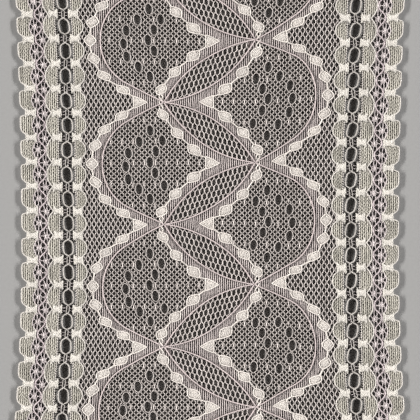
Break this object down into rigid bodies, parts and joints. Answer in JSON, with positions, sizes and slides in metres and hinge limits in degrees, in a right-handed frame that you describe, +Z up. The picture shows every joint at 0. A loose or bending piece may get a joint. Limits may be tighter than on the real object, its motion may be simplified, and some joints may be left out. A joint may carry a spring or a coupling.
{
  "type": "stretch lace",
  "caption": "Flat cut length of cream stretch galloon lace: netted panel of petals and leaves outlined in pink and white cord, scalloped borders with ribbon eyelets.",
  "frame": {"origin": "on the surface the lace lies on, under the middle of its box", "axes": "+X across the width to the right border, +Y along the length towards the upper cut end, +Z up out of the lace's face"},
  "size_m": [0.1537, 0.195, 0.001],
  "materials": {
    "panel_lace": "sheer knitted net with raised white and faintly pink cords, soft sheen",
    "border_lace": "ribbed cream knit with thick matt white edge cord"
  },
  "bodies": {
    "root": {"panel": "panel_lace", "border_left": "border_lace", "border_right": "border_lace"}
  },
  "joints": []
}
